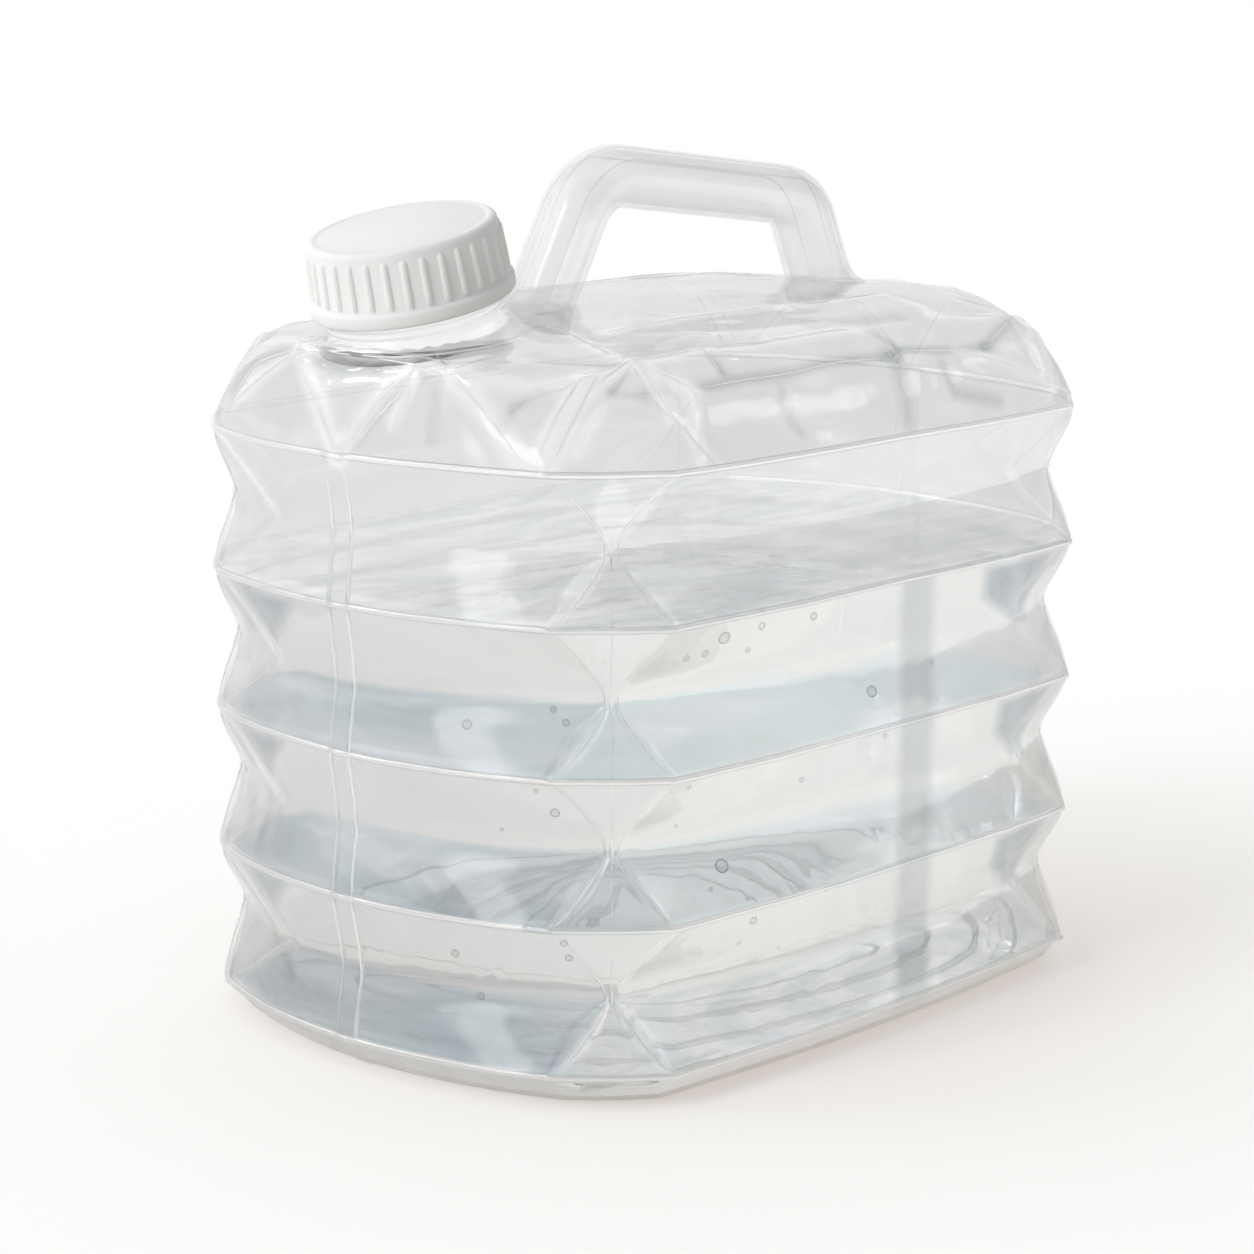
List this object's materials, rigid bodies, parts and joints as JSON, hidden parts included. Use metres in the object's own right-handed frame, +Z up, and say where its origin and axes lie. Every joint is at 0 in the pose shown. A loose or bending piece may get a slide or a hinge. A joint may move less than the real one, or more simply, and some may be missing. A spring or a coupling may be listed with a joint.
{
  "type": "collapsible water carrier",
  "caption": "Clear collapsible water carrier with bellows walls, a hollow carry handle and a ribbed screw cap on a leaning spout.",
  "frame": {"origin": "centre of the flat base, on the surface the carrier stands on", "axes": "+Z up, the spout towards -X, the handle along X, the wide sides facing +Y and -Y"},
  "size_m": [0.3014, 0.224, 0.2969],
  "materials": {
    "clear_film": "clear, smooth, slightly blue-grey",
    "milky_bar": "milky translucent, smooth",
    "cap_white": "white, satin",
    "liner": "soft, dull"
  },
  "bodies": {
    "base": {"base_pan": "clear_film", "pleat_4_lower": "clear_film", "pleat_4_upper": "clear_film"},
    "ring_4": {"fold_ring_4": "clear_film", "pleat_3_lower": "clear_film", "pleat_3_upper": "clear_film"},
    "ring_3": {"fold_ring_3": "clear_film", "pleat_2_lower": "clear_film", "pleat_2_upper": "clear_film"},
    "ring_2": {"fold_ring_2": "clear_film", "pleat_1_lower": "clear_film", "pleat_1_upper": "clear_film"},
    "top": {"shoulder": "clear_film", "deck": "clear_film", "neck": "clear_film", "handle": "milky_bar"},
    "cap_liner": {"cap_liner": "liner"},
    "cap": {"cap": "cap_white"}
  },
  "joints": [
    {"name": "pleat_4_fold", "type": "slide", "parent": "base", "child": "ring_4", "axis": [0, 0, -1], "range_m": [0, 0.03], "deforming": ["pleat_4_lower", "pleat_4_upper"]},
    {"name": "pleat_3_fold", "type": "slide", "parent": "ring_4", "child": "ring_3", "axis": [0, 0, -1], "range_m": [0, 0.03], "deforming": ["pleat_3_lower", "pleat_3_upper"]},
    {"name": "pleat_2_fold", "type": "slide", "parent": "ring_3", "child": "ring_2", "axis": [0, 0, -1], "range_m": [0, 0.03], "deforming": ["pleat_2_lower", "pleat_2_upper"]},
    {"name": "pleat_1_fold", "type": "slide", "parent": "ring_2", "child": "top", "axis": [0, 0, -1], "range_m": [0, 0.03], "deforming": ["pleat_1_lower", "pleat_1_upper"]},
    {"name": "cap_lift", "type": "slide", "parent": "top", "child": "cap_liner", "axis": [-0.225, 0, 0.9744], "range_m": [0, 0.03]},
    {"name": "cap_turn", "type": "hinge", "parent": "cap_liner", "child": "cap", "pos_m": [-0.111, 0, 0.24104], "axis": [-0.225, 0, 0.9744], "range_deg": [0, 1801]}
  ],
  "couplings": [
    {"joint": "pleat_3_fold", "follows": "pleat_4_fold", "ratio": 1},
    {"joint": "pleat_2_fold", "follows": "pleat_4_fold", "ratio": 1},
    {"joint": "pleat_1_fold", "follows": "pleat_4_fold", "ratio": 1},
    {"joint": "cap_turn", "follows": "cap_lift", "rad_per_m": 1047.2}
  ]
}
